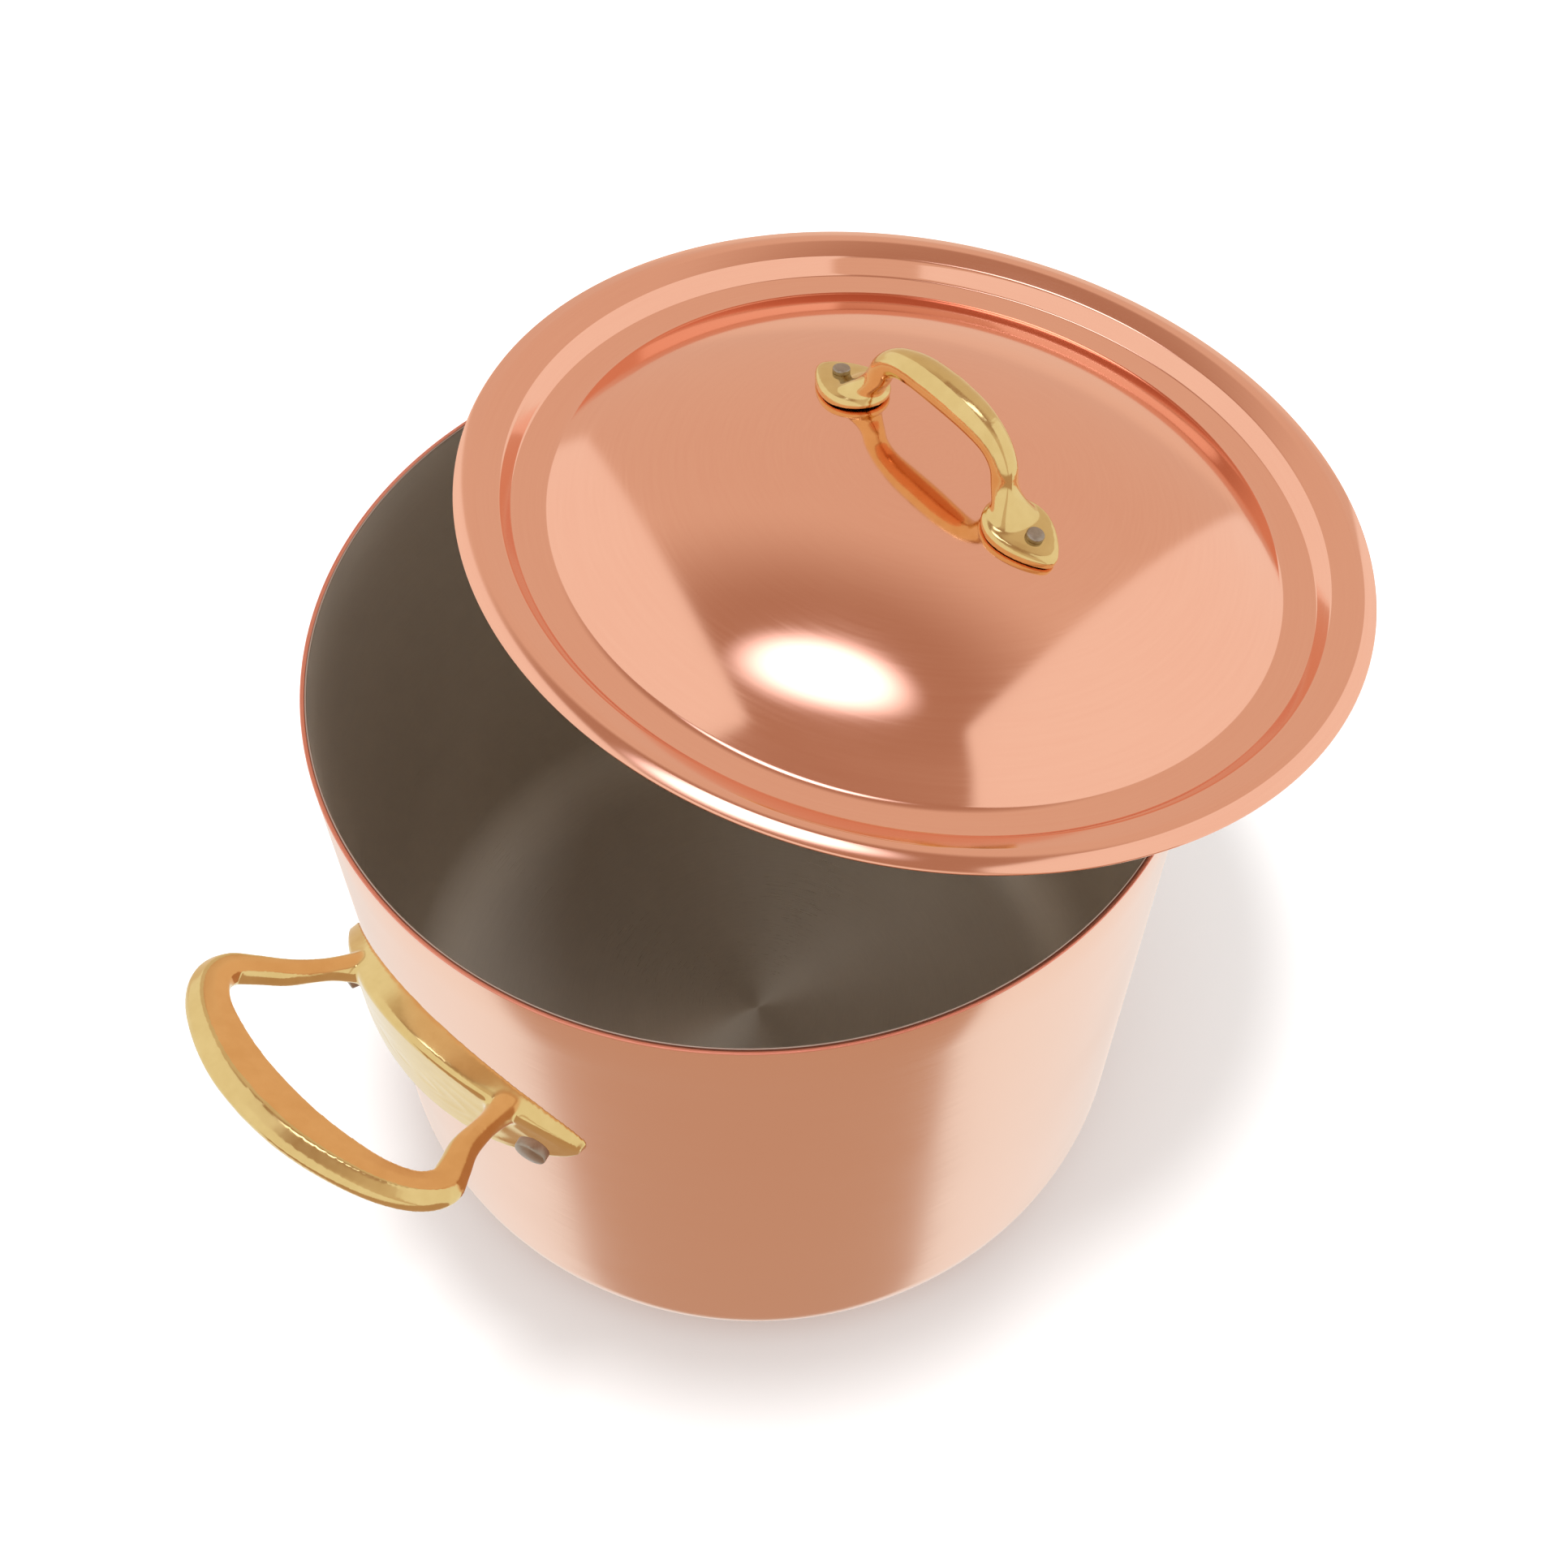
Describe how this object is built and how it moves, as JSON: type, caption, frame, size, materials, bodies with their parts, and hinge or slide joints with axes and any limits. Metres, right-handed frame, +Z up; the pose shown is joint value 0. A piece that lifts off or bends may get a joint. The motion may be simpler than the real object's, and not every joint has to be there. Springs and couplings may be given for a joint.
{
  "type": "stockpot",
  "caption": "Tall round copper stockpot with steel lining, riveted brass loop handles and a domed copper lid lying ajar on the rim.",
  "frame": {"origin": "centre of the flat underside, on the table plane", "axes": "+Z up along the pot's axis, side handles on the X axis, lid pushed towards +X"},
  "size_m": [0.3662, 0.2564, 0.2558],
  "materials": {
    "copper": "polished copper",
    "lining_steel": "fine circular brushing",
    "brass": "cast brass, satin polished",
    "rivet_steel": "dull"
  },
  "bodies": {
    "pot": {"pot_copper_shell": "copper", "pot_steel_lining": "lining_steel", "side_handle_left": "brass", "side_handle_right": "brass", "handle_rivet_left_front": "rivet_steel", "handle_rivet_left_back": "rivet_steel", "handle_rivet_right_front": "rivet_steel", "handle_rivet_right_back": "rivet_steel"},
    "lid": {"lid_copper_shell": "copper", "lid_steel_lining": "lining_steel", "lid_handle": "brass", "lid_rivet_front": "rivet_steel", "lid_rivet_back": "rivet_steel"}
  },
  "joints": [
    {"name": "lid_lift", "type": "slide", "parent": "pot", "child": "lid", "axis": [0, 0, 1], "range_m": [0, 0.25]}
  ]
}
